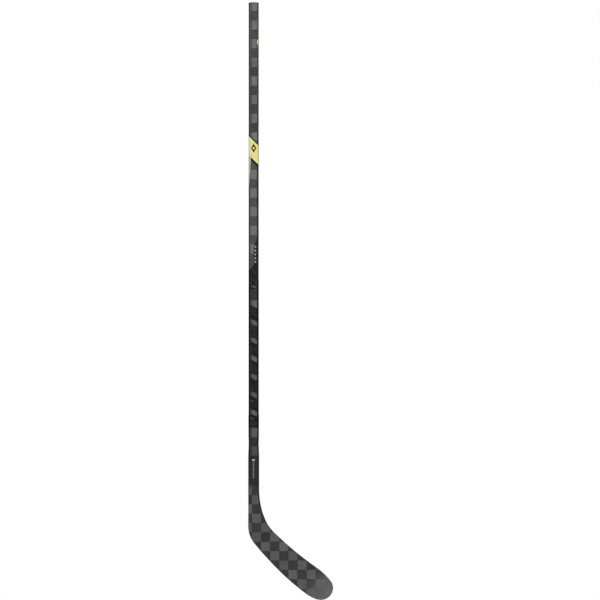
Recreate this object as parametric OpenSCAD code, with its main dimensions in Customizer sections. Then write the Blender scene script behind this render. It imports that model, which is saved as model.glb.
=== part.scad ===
// Ice hockey stick: a composite stick with a fused hosel and a left-handed curve.
// Millimetres. Z runs up the shaft, X points towards the toe and -Y is the forehand side.
// The origin is on the shaft's axis, at the middle of the top hand's grip.

/* [Shaft] */
// Height of the tube's butt end above the middle of the top hand
grip_up = 72; // [60:2:100]
// Depth of the heel below the middle of the top hand
heel_down = 1500; // [1450:5:1540]
// Width across the wide faces
shaft_w = 29.5; // [28:0.5:31]
// Thickness across the narrow faces
shaft_t = 19.5; // [18:0.5:21]
// Outer corner radius of the shaft
corner_r = 5; // [4:0.5:6]
// Wall of the structural laminate under the outer ply
wall = 1.4; // [1.2:0.1:2]
// Thickness of the outer spread-tow ply
ply = 0.4; // [0.3:0.05:0.5]

/* [End plug] */
// Length of the plug's shank inside the tube
shank_len = 50; // [30:5:80]
// Clearance between the shank's ribs and the tube, each side
shank_gap = 0.1; // [0.08:0.02:0.2]
// Height of the sealing ribs that stand on the shank
rib_h = 0.25; // [0.2:0.05:0.4]
// Thickness of the plug's flange
flange_h = 1.4; // [1:0.2:2]
// How far the flange stands out past the shaft, each side
flange_lip = 0.5; // [0.3:0.1:0.8]
// Radius of the crown on top of the plug
crown_r = 62; // [55:1:80]

/* [Fused joint] */
// Height of the fused joint above the heel
fuse_up = 322; // [310:2:340]
// Length of the tenon inside the shaft
tenon_len = 90; // [60:5:120]
// Thickness of the glue film around the tenon
glue = 0.3; // [0.2:0.05:0.4]
// Wall of the tenon
tenon_wall = 2.2; // [1.8:0.1:3]
// Half the length of the wrap over the joint
wrap_half = 42; // [30:2:44]
// Thickness of the wrap over the joint
wrap_t = 0.5; // [0.3:0.1:0.6]

/* [Blade] */
// Angle between the shaft's axis and the blade's bottom edge beside the heel
lie = 138; // [136:0.5:140]
// Extra length added to the blade between the heel and the toe
blade_extra = 0; // [-8:1:8]
// Depth of the curve, from the heel's plane to the toe
curve_depth = 17; // [8:1:22]
// How far the face leans back at the toe, in degrees
face_loft = 7; // [0:1:10]
// Wall of the face skins on the blade
skin_wall = 1; // [0.8:0.1:1.2]
// Width of the rib between the two foam cores
rib_w = 4; // [3:0.5:6]
// Thickness of the plies that bind the blade's edges
edge_ply = 0.3; // [0.2:0.05:0.4]

/* [Graphics] */
// Thickness of the transfer films
film = 0.2; // [0.15:0.05:0.25]
// Slope of the accent band across the shaft, in degrees
band_slope = 45; // [35:1:50]
// Height of the accent band
band_h = 56; // [50:1:60]
// Height of the round badge on the narrow side
badge_d = 28; // [27:0.5:29]
// Distance between neighbouring slanted windows
window_pitch = 53.2; // [50:0.2:56]
// Height of a slanted window
window_h = 14; // [10:0.5:18]

/* [Hidden] */

tiny = 0.01;
butt_z = grip_up;
heel_z = -heel_down;
fuse_z = heel_z + fuse_up;

bore_w = shaft_w - 2*(wall + ply);
bore_t = shaft_t - 2*(wall + ply);
bore_r = corner_r - wall - ply;
shank_w = bore_w - 2*shank_gap - 2*rib_h;
shank_t = bore_t - 2*shank_gap - 2*rib_h;

// ---- Outline of the hosel and the blade ----
// Both edges are chains of arcs [length, turn], in the plane of the shaft and the blade.
// Each chain has four spans: hosel, heel, blade and toe. u counts spans, from 0 to 4.
heel_turn = 180 - lie;
bottom_start = [-shaft_w/2, fuse_z, -90];
top_start = [shaft_w/2, fuse_z, -90];
bottom_edge = [
    [[46, 0], [24, -3], [24, 3], [96, 0]],
    [[102, 0], [56, heel_turn - 2.5]],
    [[99 + blade_extra, 5.5], [108, 8.5]],
    [[17, 7], [21, 11], [14, 18], [55, 88]]
];
top_edge = [
    [[46, 0], [24, 3], [24, -3], [88, 0]],
    [[59, 14], [38, 11], [40, heel_turn - 22]],
    [[123 + blade_extra, 8], [28, 1.5]],
    [[18, 0], [27, -8.5], [27, -8], [20.5, -37]]
];
hosel_drop = span_len(bottom_edge[0]);
u_toe_end = 3.98;

// Thickness of the section at each u, across the faces
thickness_at = [[0, shaft_t], [0.24, shaft_t], [1, 15.5], [1.5, 13], [2, 9.5], [3, 6.2], [3.8, 5],
                [u_toe_end, 3]];
// Wall of the skins at each u
wall_at = [[0, wall + ply], [1, 1.6], [2, skin_wall], [3.8, skin_wall], [u_toe_end, 0.8]];

// State [x, z, heading] after an arc of the given length and turn
function arc_step(p, l, a) =
    abs(a) < tiny
    ? [p[0] + l*cos(p[2]), p[1] + l*sin(p[2]), p[2] + a]
    : let (r = l*180/(PI*a))
      [p[0] + r*(sin(p[2] + a) - sin(p[2])), p[1] - r*(cos(p[2] + a) - cos(p[2])), p[2] + a];

// State at length s along a list of arcs
function walk(p, arcs, s, i = 0) =
    i == len(arcs) - 1 || s <= arcs[i][0]
    ? arc_step(p, s, arcs[i][1]*s/arcs[i][0])
    : walk(arc_step(p, arcs[i][0], arcs[i][1]), arcs, s - arcs[i][0], i + 1);

function span_len(arcs, i = 0) = i == len(arcs) ? 0 : arcs[i][0] + span_len(arcs, i + 1);

// State at u along a chain of spans
function edge_state(p, chain, u, i = 0) =
    u <= 1 || i == len(chain) - 1
    ? walk(p, chain[i], u*span_len(chain[i]))
    : edge_state(walk(p, chain[i], span_len(chain[i])), chain, u - 1, i + 1);

// Distance of a point [x, z] beyond the heel, along the blade, as a share of the blade's length
blade_len = 269;
blade_dir = heel_turn - 90;
curve_from = 30;
function along_blade(q) =
    max(0, q[0]*cos(blade_dir) + (q[1] - heel_z)*sin(blade_dir) - curve_from)/(blade_len - curve_from);

// Offset of the mid surface in Y: the toe curves towards the forehand and the face leans back
function mid_y(q, s) =
    let (d = along_blade(q)) -curve_depth*d*d + s*tan(face_loft)*min(1, d);

// Half of a rounded section, from the top edge's seam round one side to the bottom edge's seam.
// side is -1 for the forehand and 1 for the backhand; inset shrinks the section evenly.
CORNER_STEPS = 3;
function half_section(l, t, inset, w, side) =
    let (a = l/2 - inset, h = t/2 - inset,
         r = max(0.2, min(corner_r - wall - ply, 0.35*(t - 2*w)) + w - inset),
         rib = min(rib_w/2, (a - r)/3), f = (a - r + rib)/2)
    concat(
        [[a, 0]],
        [for (i = [0:CORNER_STEPS]) let (g = 90*i/CORNER_STEPS)
            [a - r + r*cos(g), side*(h - r + r*sin(g))]],
        [[f, side*h], [rib, side*h], [-rib, side*h], [-f, side*h]],
        [for (i = [0:CORNER_STEPS]) let (g = 90 + 90*i/CORNER_STEPS)
            [-a + r + r*cos(g), side*(h - r + r*sin(g))]],
        [[-a, 0]]);

// The half section at u, placed in space
function half_ring(u, inset_share, extra, side) =
    let (b = edge_state(bottom_start, bottom_edge, u), t = edge_state(top_start, top_edge, u),
         lo = [b[0], b[1]], hi = [t[0], t[1]], l = norm(hi - lo), dir = (hi - lo)/l, mid = (lo + hi)/2,
         w = lookup(u, wall_at))
    [for (q = half_section(l, lookup(u, thickness_at), inset_share*w - extra, w, side))
        let (p = mid + q[0]*dir) [p[0], q[1] + mid_y(p, q[0]), p[1]]];

// Index of the points in a half section where the sides, the rib and the edges begin
SIDE_A = 1;
RIB_A = SIDE_A + CORNER_STEPS + 2;
RIB_B = RIB_A + 1;
SIDE_B = RIB_B + CORNER_STEPS + 2;
SEAM_B = SIDE_B + 1;

function pick(ring, a, b) = [for (i = [a:b]) ring[i]];
function backwards(v) = [for (i = [len(v) - 1:-1:0]) v[i]];
function steps(a, b, n) = [for (i = [0:n]) a + (b - a)*i/n];

// Closed solid between two grids of points of the same size
module between(a, b) {
    m = len(a);
    n = len(a[0]);
    function ia(i, j) = i*n + j;
    function ib(i, j) = m*n + i*n + j;
    points = concat([for (row = a) each row], [for (row = b) each row]);
    // Cut along the shorter diagonal, so that neighbouring solids share their triangles
    function quad(p, q, r, s) =
        norm(points[p] - points[r]) <= norm(points[q] - points[s])
        ? [[p, q, r], [p, r, s]]
        : [[q, r, s], [q, s, p]];
    faces = concat(
        [for (i = [0:m-2], j = [0:n-2]) each quad(ia(i, j), ia(i, j+1), ia(i+1, j+1), ia(i+1, j))],
        [for (i = [0:m-2], j = [0:n-2]) each quad(ib(i, j), ib(i+1, j), ib(i+1, j+1), ib(i, j+1))],
        [for (i = [0:m-2]) each quad(ia(i, 0), ia(i+1, 0), ib(i+1, 0), ib(i, 0))],
        [for (i = [0:m-2]) each quad(ia(i, n-1), ib(i, n-1), ib(i+1, n-1), ia(i+1, n-1))],
        [for (j = [0:n-2]) each quad(ia(0, j), ib(0, j), ib(0, j+1), ia(0, j+1))],
        [for (j = [0:n-2]) each quad(ia(m-1, j), ia(m-1, j+1), ib(m-1, j+1), ib(m-1, j))]);
    polyhedron(points = points, faces = faces);
}

// Stations along the hosel and the blade, shared by every piece that spans them
hosel_stations = [0, 0.24, 0.37, 0.5, 0.75, 1];
heel_stations = steps(1, 2, 12);
blade_stations = steps(2, 3, 8);
toe_stations = concat(steps(3, 3.8, 8), [3.87, 3.93, u_toe_end]);
heel_cut = 1.5;
toe_cut = 3.4;
function tail(v) = [for (i = [1:len(v) - 1]) v[i]];
all_stations = concat(hosel_stations, tail(heel_stations), tail(blade_stations), tail(toe_stations));
function stations(a, b) = [for (u = all_stations) if (u >= a - tiny && u <= b + tiny) u];

// ---- Shaft ----
module rounded(w, t, r) {
    square([w - 2*r, t], center = true);
    square([w, t - 2*r], center = true);
    for (x = [-1, 1], y = [-1, 1])
        translate([x*(w/2 - r), y*(t/2 - r)]) circle(r, $fn = 48);
}

// Straight tube with the shaft's section, grown by out, from z0 up by h
module sleeve(out, thick, z0, h) {
    translate([0, 0, z0]) linear_extrude(h) difference() {
        rounded(shaft_w + 2*out, shaft_t + 2*out, corner_r + out);
        rounded(shaft_w + 2*(out - thick), shaft_t + 2*(out - thick), corner_r + out - thick);
    }
}

// The tube's four walls, parted at the corners so that no convex collision piece can span the bore
module shaft_tube() {
    part_line = 0.05;
    color("#2b2c2e") translate([0, 0, fuse_z]) linear_extrude(butt_z - fuse_z) difference() {
        rounded(shaft_w - 2*ply, shaft_t - 2*ply, corner_r - ply);
        rounded(bore_w, bore_t, bore_r);
        for (x = [-1, 1], y = [-1, 1])
            translate([x*(bore_w/2 - bore_r), y*(bore_t/2 - bore_r)]) rotate(x*y*45)
                square([4*bore_r, part_line], center = true);
    }
}

module shaft_checker_ply() {
    color("#5b5d60") sleeve(0, ply, fuse_z, butt_z - fuse_z);
}

module end_plug() {
    rib_z = 3;
    rib_count = 4;
    rib_pitch = (shank_len - 10)/(rib_count - 1);
    cap_w = shaft_w + 2*flange_lip;
    cap_t = shaft_t + 2*flange_lip;
    cap_r = corner_r + flange_lip;
    crown_h = crown_r - sqrt(crown_r*crown_r - cap_w*cap_w/4);
    color("#1b1b1c") {
        difference() {
            translate([0, 0, butt_z - shank_len]) linear_extrude(shank_len + flange_h/2)
                rounded(shank_w, shank_t, bore_r);
            translate([0, 0, butt_z - shank_len - tiny]) linear_extrude(shank_len - 4)
                rounded(shank_w - 5, shank_t - 5, 1);
        }
        for (i = [0:rib_count - 1])
            translate([0, 0, butt_z - shank_len + 4 + i*rib_pitch]) linear_extrude(rib_z)
                rounded(shank_w + 2*rib_h, shank_t + 2*rib_h, bore_r + rib_h/2);
        intersection() {
            translate([0, 0, butt_z]) linear_extrude(flange_h + crown_h) rounded(cap_w, cap_t, cap_r);
            translate([0, 0, butt_z + flange_h + crown_h - crown_r]) sphere(crown_r, $fn = 96);
        }
    }
}

// ---- Fused joint ----
module hosel_tenon() {
    w = bore_w - 2*glue;
    t = bore_t - 2*glue;
    r = bore_r - glue;
    color("#3a3a3c") translate([0, 0, fuse_z]) linear_extrude(tenon_len) difference() {
        rounded(w, t, r);
        rounded(w - 2*tenon_wall, t - 2*tenon_wall, 1);
    }
}

module tenon_glue() {
    color("#c9b98a") translate([0, 0, fuse_z]) linear_extrude(tenon_len) difference() {
        rounded(bore_w, bore_t, bore_r);
        rounded(bore_w - 2*glue, bore_t - 2*glue, bore_r - glue);
    }
}

module fuse_wrap() {
    color("#161718") sleeve(wrap_t, wrap_t, fuse_z - wrap_half, 2*wrap_half);
}

// ---- Hosel and blade ----
module skin(side) {
    us = stations(0, u_toe_end);
    outer = [for (u = us) half_ring(u, 0, 0, side)];
    inner = [for (u = us) half_ring(u, 1, 0, side)];
    if (side < 0) between(inner, outer);
    else between(outer, inner);
}

module forehand_skin() {
    color("#56585b") skin(-1);
}

module backhand_skin() {
    color("#4b4d50") skin(1);
}

// Filling between the skins from u0 to u1, across the points a to b of the section
module filling(u0, u1, a, b) {
    us = stations(u0, u1);
    between([for (u = us) pick(half_ring(u, 1, 0, 1), a, b)],
            [for (u = us) pick(half_ring(u, 1, 0, -1), a, b)]);
}

module hosel_core() {
    color("#d8cfae") filling(0, 1, SIDE_A, SIDE_B);
}

module heel_block() {
    color("#8f8b80") filling(1, heel_cut, SIDE_A, SIDE_B);
}

module upper_core() {
    color("#e6dcb8") filling(heel_cut, toe_cut, SIDE_A, RIB_A);
}

module blade_rib() {
    color("#2e2f31") filling(heel_cut, toe_cut, RIB_A, RIB_B);
}

module lower_core() {
    color("#e0d5ad") filling(heel_cut, toe_cut, RIB_B, SIDE_B);
}

module toe_insert() {
    color("#3c3d40") filling(toe_cut, u_toe_end, SIDE_A, SIDE_B);
}

// Ply that binds one edge of the blade from u0 to the toe
module edge_binding(u0, a, b) {
    us = stations(u0, u_toe_end);
    function around(u, extra) =
        concat(pick(half_ring(u, 0, extra, -1), a, b),
               tail(backwards(pick(half_ring(u, 0, extra, 1), a, b))));
    function around_top(u, extra) =
        concat(backwards(pick(half_ring(u, 0, extra, -1), a, b)),
               tail(pick(half_ring(u, 0, extra, 1), a, b)));
    if (a > 0)
        between([for (u = us) around(u, 0)], [for (u = us) around(u, edge_ply)]);
    else
        between([for (u = us) around_top(u, 0)], [for (u = us) around_top(u, edge_ply)]);
}

module bottom_edge_ply() {
    color("#1f2022") edge_binding(1.5, SIDE_B - CORNER_STEPS, SEAM_B);
}

module top_edge_ply() {
    color("#2a2b2d") edge_binding(2, 0, SIDE_A + CORNER_STEPS);
}

// ---- Transfer films ----
// Heights below are distances down from the butt end.
side_x = 13.8;
face_x = shaft_w/2 - corner_r;
reach = shaft_w;
band_down = 391.5;
band_line_h = 5;
band_foot_h = 10;
foot_x = 8.5;
mark_down = 427.5;
badge_down = 115;
chips_down = 718.5;
chip_pitch = 11;
gloss_down = 903;
window_down = 929.5;
window_drop = 9;
ticks_down = 1346.5;

foot_down = band_down + band_h;
panel_down = foot_down + band_foot_h;

function down(d) = butt_z - d;

// Film on every side of the shaft where the outline drawn in X and Z passes through it
module film_zone(points, over = 0) {
    zs = [for (p = points) p[1]];
    intersection() {
        sleeve(over + film, film, min(zs) - 1, max(zs) - min(zs) + 2);
        through(points);
    }
}

// Prism through the shaft from the forehand side to the backhand side
module through(points) {
    rotate([90, 0, 0]) linear_extrude(2*shaft_t, center = true) polygon(points);
}

// Outline of a strip across the shaft that falls towards +X
function slanted(x0, x1, top, h, fall) =
    [[x0, top], [x1, top - fall], [x1, top - fall - h], [x0, top - h]];

// Point at x on a line that falls across the shaft as the band does, from d down on the heel side
function on_slope(x, d) = [x, down(d) - (x + shaft_w/2)*tan(band_slope)];

function band_outline(d, h, x0, x1) =
    [on_slope(x0, d), on_slope(x1, d), on_slope(x1, d + h), on_slope(x0, d + h)];

module accent_band() {
    color("#e8de87") film_zone(band_outline(band_down, band_h, -reach, reach));
}

module band_top_line() {
    color("#111112") film_zone(band_outline(band_down - band_line_h, band_line_h, -reach, reach));
}

module band_bottom_line() {
    color("#151516") film_zone(band_outline(foot_down, band_foot_h, -foot_x, side_x));
}

// Places a piece on the second film layer of both wide faces
module on_faces() {
    for (side = [0, 1])
        mirror([0, side, 0]) translate([0, -(shaft_t/2 + film), 0]) rotate([90, 0, 0]) children();
}

module band_mark() {
    mark_w = 16;
    mark_h = 26;
    hole_r = 3.5;
    color("#111112") on_faces() linear_extrude(film) translate([0, down(mark_down)]) difference() {
        polygon([[-mark_w/2, 0], [0, -mark_h/2], [mark_w/2, 0], [0, mark_h/2]]);
        circle(hole_r, $fn = 48);
    }
}

// The wedge tapers from the foot's end to the heel side
wedge_tip = [-shaft_w/2 + 0.5, down(550.5)];

module left_wedge() {
    color("#b9b48a")
        film_zone([on_slope(-reach, foot_down), on_slope(-foot_x, foot_down),
                   on_slope(-foot_x, panel_down), wedge_tip, [-reach, wedge_tip[1]]]);
}

// Round sticker on the toe side that wraps over both corners, made smaller by inset
module badge_film(inset) {
    wrap_x = 14;
    lobe_x = 20;
    lobe_r = 13.2;
    z = down(badge_down);
    intersection() {
        sleeve(film, film, z - badge_d, 2*badge_d);
        translate([0, 0, z]) union() {
            intersection() {
                rotate([0, 90, 0]) cylinder(shaft_w, badge_d/2 - inset, badge_d/2 - inset, $fn = 96);
                translate([wrap_x, -shaft_w, -shaft_w]) cube(2*shaft_w);
            }
            intersection() {
                translate([lobe_x, 0, 0]) rotate([90, 0, 0])
                    cylinder(2*shaft_t, lobe_r - inset, lobe_r - inset, center = true, $fn = 96);
                translate([wrap_x - shaft_w, -shaft_w, -shaft_w]) cube([shaft_w, 2*shaft_w, 2*shaft_w]);
            }
        }
    }
}

badge_rim = 2.4;

module side_badge() {
    color("#ddd68c") badge_film(badge_rim);
}

module badge_ring() {
    color("#26271f") difference() {
        badge_film(0);
        badge_film(badge_rim);
    }
}

module right_side_panel() {
    foot = 810.5;
    color("#ddd37e") film_zone([on_slope(side_x, foot_down), on_slope(reach, foot_down),
                                [reach, down(foot)], [side_x, down(foot)]]);
}

stripe_foot = 816.5;

module right_corner_stripe() {
    color("#131314") film_zone([on_slope(face_x, panel_down), on_slope(side_x, panel_down),
                                [side_x, down(stripe_foot)], [face_x, down(stripe_foot)]]);
}

wedge_top = 695.5;
wedge_bottom = 716.5;

module grip_panel() {
    foot = 765.5;
    start = on_slope(-foot_x, panel_down);
    share = (start[0] + face_x)/(start[0] - wedge_tip[0]);
    color("#6a6c6f") film_zone([start, on_slope(face_x, panel_down),
                                [face_x, down(wedge_top)], [0, down(wedge_bottom)],
                                [0, down(foot)], [-face_x, down(foot)],
                                [-face_x, start[1] + share*(wedge_tip[1] - start[1])]]);
}

module outline_panel() {
    line = 1.2;
    box_w = 15;
    box_h = 52;
    box_down = 795.5;
    light_down = 849.5;
    light_left = 888.5;
    light_right = 899.5;
    slit_down = 832;
    slit_w = 11;
    slit_h = 4;
    slant_foot = 785.5;
    color("#141415") difference() {
        film_zone([[face_x, down(wedge_top)], [0, down(wedge_bottom)], [0, down(slant_foot - 16)],
                   [-face_x, down(slant_foot)], [-reach, down(slant_foot)], [-reach, down(gloss_down)],
                   [reach, down(gloss_down)], [reach, down(stripe_foot)], [face_x, down(stripe_foot)]]);
        difference() {
            through(slanted(-box_w/2, box_w/2, down(box_down), box_h, 0));
            through(slanted(-box_w/2 + line, box_w/2 - line, down(box_down + line), box_h - 2*line, 0));
        }
        through(slanted(-slit_w/2, slit_w/2, down(slit_down), slit_h, slit_h));
        through([[-face_x, down(light_down)], [face_x, down(light_down)],
                 [face_x, down(light_right)], [-face_x, down(light_left)]]);
    }
}

module marker_chips() {
    chip_w = 4.6;
    chip_h = 6;
    chip_x = 5;
    color("#8a8c8e") on_faces()
        for (i = [0:4])
            translate([chip_x - chip_w/2, down(chips_down + i*chip_pitch) - chip_h/2])
                cube([chip_w, chip_h, film]);
}

// Slanted windows that let the checker show through the gloss panel
module windows() {
    fall = window_drop;
    sliver_h = 3;
    sliver_after = 25;
    for (i = [0:5])
        through(slanted(-face_x, face_x, down(window_down + i*window_pitch), window_h, fall));
    for (i = [4:5])
        through(slanted(-face_x, 0, down(window_down + i*window_pitch + sliver_after), sliver_h, fall/2));
}

module gloss_panel() {
    step_down = butt_z - fuse_z - wrap_half;
    color("#0f0f10") difference() {
        union() {
            film_zone([[-reach, down(gloss_down)], [reach, down(gloss_down)],
                       [reach, down(step_down)], [-reach, down(step_down)]]);
            film_zone([[-reach, down(step_down)], [reach, down(step_down)],
                       [reach, fuse_z], [-reach, fuse_z]], over = wrap_t);
        }
        windows();
    }
}

// Thin film on the hosel's forehand face, w wide and h high, centred at [x, z]
module hosel_film(x, z, w, h) {
    function at(px, pz, out) =
        let (u = (fuse_z - pz)/hosel_drop) [px, -lookup(u, thickness_at)/2 - out, pz];
    function grid(out) = [for (pz = [z + h/2, z - h/2]) [for (px = [x - w/2, x + w/2]) at(px, pz, out)]];
    between(grid(0), grid(film));
}

module hosel_ticks() {
    x = -0.6;
    bar_w = 8;
    bar_h = 4;
    tick_w = 3;
    tick_h = 2.4;
    tick_pitch = 6.5;
    color("#9a9c9e") {
        hosel_film(x, down(ticks_down), bar_w, bar_h);
        for (i = [1:8]) hosel_film(x, down(ticks_down + i*tick_pitch), tick_w, tick_h);
    }
}

shaft_tube();
shaft_checker_ply();
end_plug();
hosel_tenon();
tenon_glue();
fuse_wrap();
forehand_skin();
backhand_skin();
hosel_core();
heel_block();
upper_core();
blade_rib();
lower_core();
toe_insert();
bottom_edge_ply();
top_edge_ply();
accent_band();
band_top_line();
band_bottom_line();
band_mark();
left_wedge();
side_badge();
badge_ring();
right_side_panel();
right_corner_stripe();
grip_panel();
outline_panel();
marker_chips();
gloss_panel();
hosel_ticks();
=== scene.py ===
"""Looks of the ice hockey stick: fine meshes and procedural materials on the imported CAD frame."""

import math

import bmesh
import bpy
import numpy as np
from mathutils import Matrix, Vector


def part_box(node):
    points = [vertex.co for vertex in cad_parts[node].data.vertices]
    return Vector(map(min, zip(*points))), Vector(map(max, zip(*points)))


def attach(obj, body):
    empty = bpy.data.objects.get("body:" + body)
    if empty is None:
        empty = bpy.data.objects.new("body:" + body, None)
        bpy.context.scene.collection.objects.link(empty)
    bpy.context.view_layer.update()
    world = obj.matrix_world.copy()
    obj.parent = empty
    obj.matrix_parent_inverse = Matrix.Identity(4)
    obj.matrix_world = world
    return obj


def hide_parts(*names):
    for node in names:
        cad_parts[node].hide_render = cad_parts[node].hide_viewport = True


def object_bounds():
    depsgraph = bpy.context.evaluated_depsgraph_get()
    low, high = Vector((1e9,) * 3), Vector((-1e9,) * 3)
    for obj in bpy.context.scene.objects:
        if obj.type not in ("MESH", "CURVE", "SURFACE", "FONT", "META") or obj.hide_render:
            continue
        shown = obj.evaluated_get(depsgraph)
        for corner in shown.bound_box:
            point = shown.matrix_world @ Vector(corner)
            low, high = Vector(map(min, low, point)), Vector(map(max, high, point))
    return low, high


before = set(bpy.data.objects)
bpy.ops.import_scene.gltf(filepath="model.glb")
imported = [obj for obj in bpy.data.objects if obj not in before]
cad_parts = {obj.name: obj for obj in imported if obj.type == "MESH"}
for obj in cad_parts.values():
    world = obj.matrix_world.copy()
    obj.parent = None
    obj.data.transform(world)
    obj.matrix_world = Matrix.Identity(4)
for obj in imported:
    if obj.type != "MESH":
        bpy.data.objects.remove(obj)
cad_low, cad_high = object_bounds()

MM = 0.001
STICK = "stick"
PLUG = "plug"

# ---------------------------------------------------------------- sizes, in millimetres, as in the CAD


def node_box(name):
    """Lowest and highest corner of a CAD node, in millimetres."""
    low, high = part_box(name)
    return np.array(low) / MM, np.array(high) / MM


PLY_LOW, PLY_HIGH = node_box("shaft_checker_ply")
TUBE_HIGH = node_box("shaft_tube")[1]
WRAP_LOW, WRAP_HIGH = node_box("fuse_wrap")
SHAFT_W = PLY_HIGH[0] - PLY_LOW[0]
SHAFT_T = PLY_HIGH[1] - PLY_LOW[1]
BUTT_Z = PLY_HIGH[2]
FUSE_Z = PLY_LOW[2]
PLY = PLY_HIGH[0] - TUBE_HIGH[0]
WRAP_T = WRAP_HIGH[0] - PLY_HIGH[0]
CORNER_R = 5.0
WALL = 1.4
FUSE_UP = 322.0
HEEL_Z = FUSE_Z - FUSE_UP
FILM = 0.2
FACE_X = SHAFT_W / 2 - CORNER_R


def down(d):
    """Height of a point d below the butt end."""
    return BUTT_Z - d


# ---------------------------------------------------------------- mesh building


class Sheet:
    """Collects points, faces, normals and weave coordinates, and makes one mesh object."""

    def __init__(self, name):
        self.name = name
        self.points = []
        self.weave = []
        self.faces = []
        self.normals = []

    def add(self, point, weave=(0.0, 0.0, 0.0)):
        self.points.append(tuple(point))
        self.weave.append(tuple(weave))
        return len(self.points) - 1

    def face(self, corners, normals=None):
        """A face whose corners have the given normals, or the face's own."""
        if normals is None:
            p = [np.array(self.points[c]) for c in corners]
            n = np.zeros(3)
            for i in range(len(p)):
                n += np.cross(p[i] - p[0], p[(i + 1) % len(p)] - p[0])
            size = np.linalg.norm(n)
            n = n / size if size > 0 else np.array([0.0, 0.0, 1.0])
            normals = [n] * len(corners)
        self.faces.append(tuple(corners))
        self.normals.extend(tuple(n) for n in normals)

    def make(self, body, material, *nodes, slot=None):
        mesh = bpy.data.meshes.new(self.name)
        mesh.from_pydata([tuple(c * MM for c in p) for p in self.points], [], self.faces)
        weave = mesh.attributes.new("weave", "FLOAT_VECTOR", "POINT")
        weave.data.foreach_set("vector", np.array(self.weave, np.float32).ravel())
        mesh.shade_smooth()
        mesh.normals_split_custom_set(self.normals)
        mesh.materials.append(material)
        piece = bpy.data.objects.new(self.name, mesh)
        bpy.context.scene.collection.objects.link(piece)
        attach(piece, body)
        if nodes:
            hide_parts(*nodes)
        return piece


def solid_grid(sheet, outer, normals, inner, weave, closed=False):
    """A closed skin between two grids of points, whose outer face has the given normals.

    outer, inner and normals are arrays [row, column, xyz]. A closed grid joins its last column to its first.
    """
    rows, columns = outer.shape[:2]
    top = [[sheet.add(outer[i, j], weave[i, j]) for j in range(columns)] for i in range(rows)]
    under = [[sheet.add(inner[i, j], weave[i, j]) for j in range(columns)] for i in range(rows)]
    last = columns if closed else columns - 1
    for i in range(rows - 1):
        for j in range(last):
            k = (j + 1) % columns
            sheet.face([top[i][j], top[i + 1][j], top[i + 1][k], top[i][k]],
                       [normals[i, j], normals[i + 1, j], normals[i + 1, k], normals[i, k]])
            sheet.face([under[i][j], under[i][k], under[i + 1][k], under[i + 1][j]],
                       [-normals[i, j], -normals[i, k], -normals[i + 1, k], -normals[i + 1, j]])
    for j in range(last):
        k = (j + 1) % columns
        sheet.face([top[0][j], top[0][k], under[0][k], under[0][j]])
        sheet.face([top[-1][k], top[-1][j], under[-1][j], under[-1][k]])
    if not closed:
        for i in range(rows - 1):
            sheet.face([top[i][0], under[i][0], under[i + 1][0], top[i + 1][0]])
            sheet.face([top[i + 1][-1], under[i + 1][-1], under[i][-1], top[i][-1]])


# ---------------------------------------------------------------- the shaft's section

CORNER_STEPS = 8


def section(w, t, r):
    """Points round a rounded rectangle as rows [x, y, nx, ny, s]; s is the distance round it.

    It starts at the middle of the forehand face and goes towards the toe.
    """
    rows = [(0.0, -t / 2, 0.0, -1.0, 0.0)]
    s = 0.0
    corners = [(1, -1, -90), (1, 1, 0), (-1, 1, 90), (-1, -1, 180)]
    for cx, cy, start in corners:
        centre = np.array([cx * (w / 2 - r), cy * (t / 2 - r)])
        for i in range(CORNER_STEPS + 1):
            a = math.radians(start + 90 * i / CORNER_STEPS)
            n = np.array([math.cos(a), math.sin(a)])
            p = centre + r * n
            if i == 0:
                s += math.dist(p, rows[-1][:2])
            else:
                s += r * math.radians(90 / CORNER_STEPS)
            rows.append((p[0], p[1], n[0], n[1], s))
    return np.array(rows)


def section_normal(x, y):
    """Outward normal of the shaft's section at a point on or near it."""
    dx = abs(x) - (SHAFT_W / 2 - CORNER_R)
    dy = abs(y) - (SHAFT_T / 2 - CORNER_R)
    if dx <= 1e-6:
        return np.array([0.0, math.copysign(1, y), 0.0])
    if dy <= 1e-6:
        return np.array([math.copysign(1, x), 0.0, 0.0])
    size = math.hypot(dx, dy)
    return np.array([math.copysign(dx, x) / size, math.copysign(dy, y) / size, 0.0])


def wrap_out(z):
    """How far the wrap lifts the surface at height z: it is feathered at both ends."""
    feather = 14.0
    rise = min((WRAP_HIGH[2] - z) / feather, (z - WRAP_LOW[2]) / feather, 1.0)
    rise = max(rise, 0.0)
    return WRAP_T * rise * rise * (3 - 2 * rise)


def tube(sheet, w, t, r, wall, heights, lift=None):
    """A rounded rectangular tube through the given heights, which fall."""
    ring = section(w, t, r)
    outer, inner, normals, weave = [], [], [], []
    for z in heights:
        up = lift(z) if lift else 0.0
        outer.append([[x + nx * up, y + ny * up, z] for x, y, nx, ny, s in ring])
        inner.append([[x - nx * wall, y - ny * wall, z] for x, y, nx, ny, s in ring])
        normals.append([[nx, ny, 0.0] for x, y, nx, ny, s in ring])
        weave.append([weave_at(x, y, nx, ny, z) for x, y, nx, ny, s in ring])
    solid_grid(sheet, np.array(outer), np.array(normals), np.array(inner), np.array(weave), closed=True)


# The weave's rows are counted down from the butt end, and its columns round from the middle of a wide face.
# The rows are a little closer together on the lower part of the shaft.
SHAFT_ROW = 27.5
SHAFT_ROW_START = 23.4
CLOSE_ROW = 26.7
CLOSE_FROM = 35
CLOSE_DOWN = SHAFT_ROW_START + CLOSE_FROM * SHAFT_ROW
SHAFT_COLUMN = 27.4


def row_at(z):
    """Row of the shaft's weave at height z."""
    d = BUTT_Z - z
    rows = (np.minimum(d, CLOSE_DOWN) - SHAFT_ROW_START) / SHAFT_ROW
    return rows + np.maximum(d - CLOSE_DOWN, 0) / CLOSE_ROW


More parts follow.
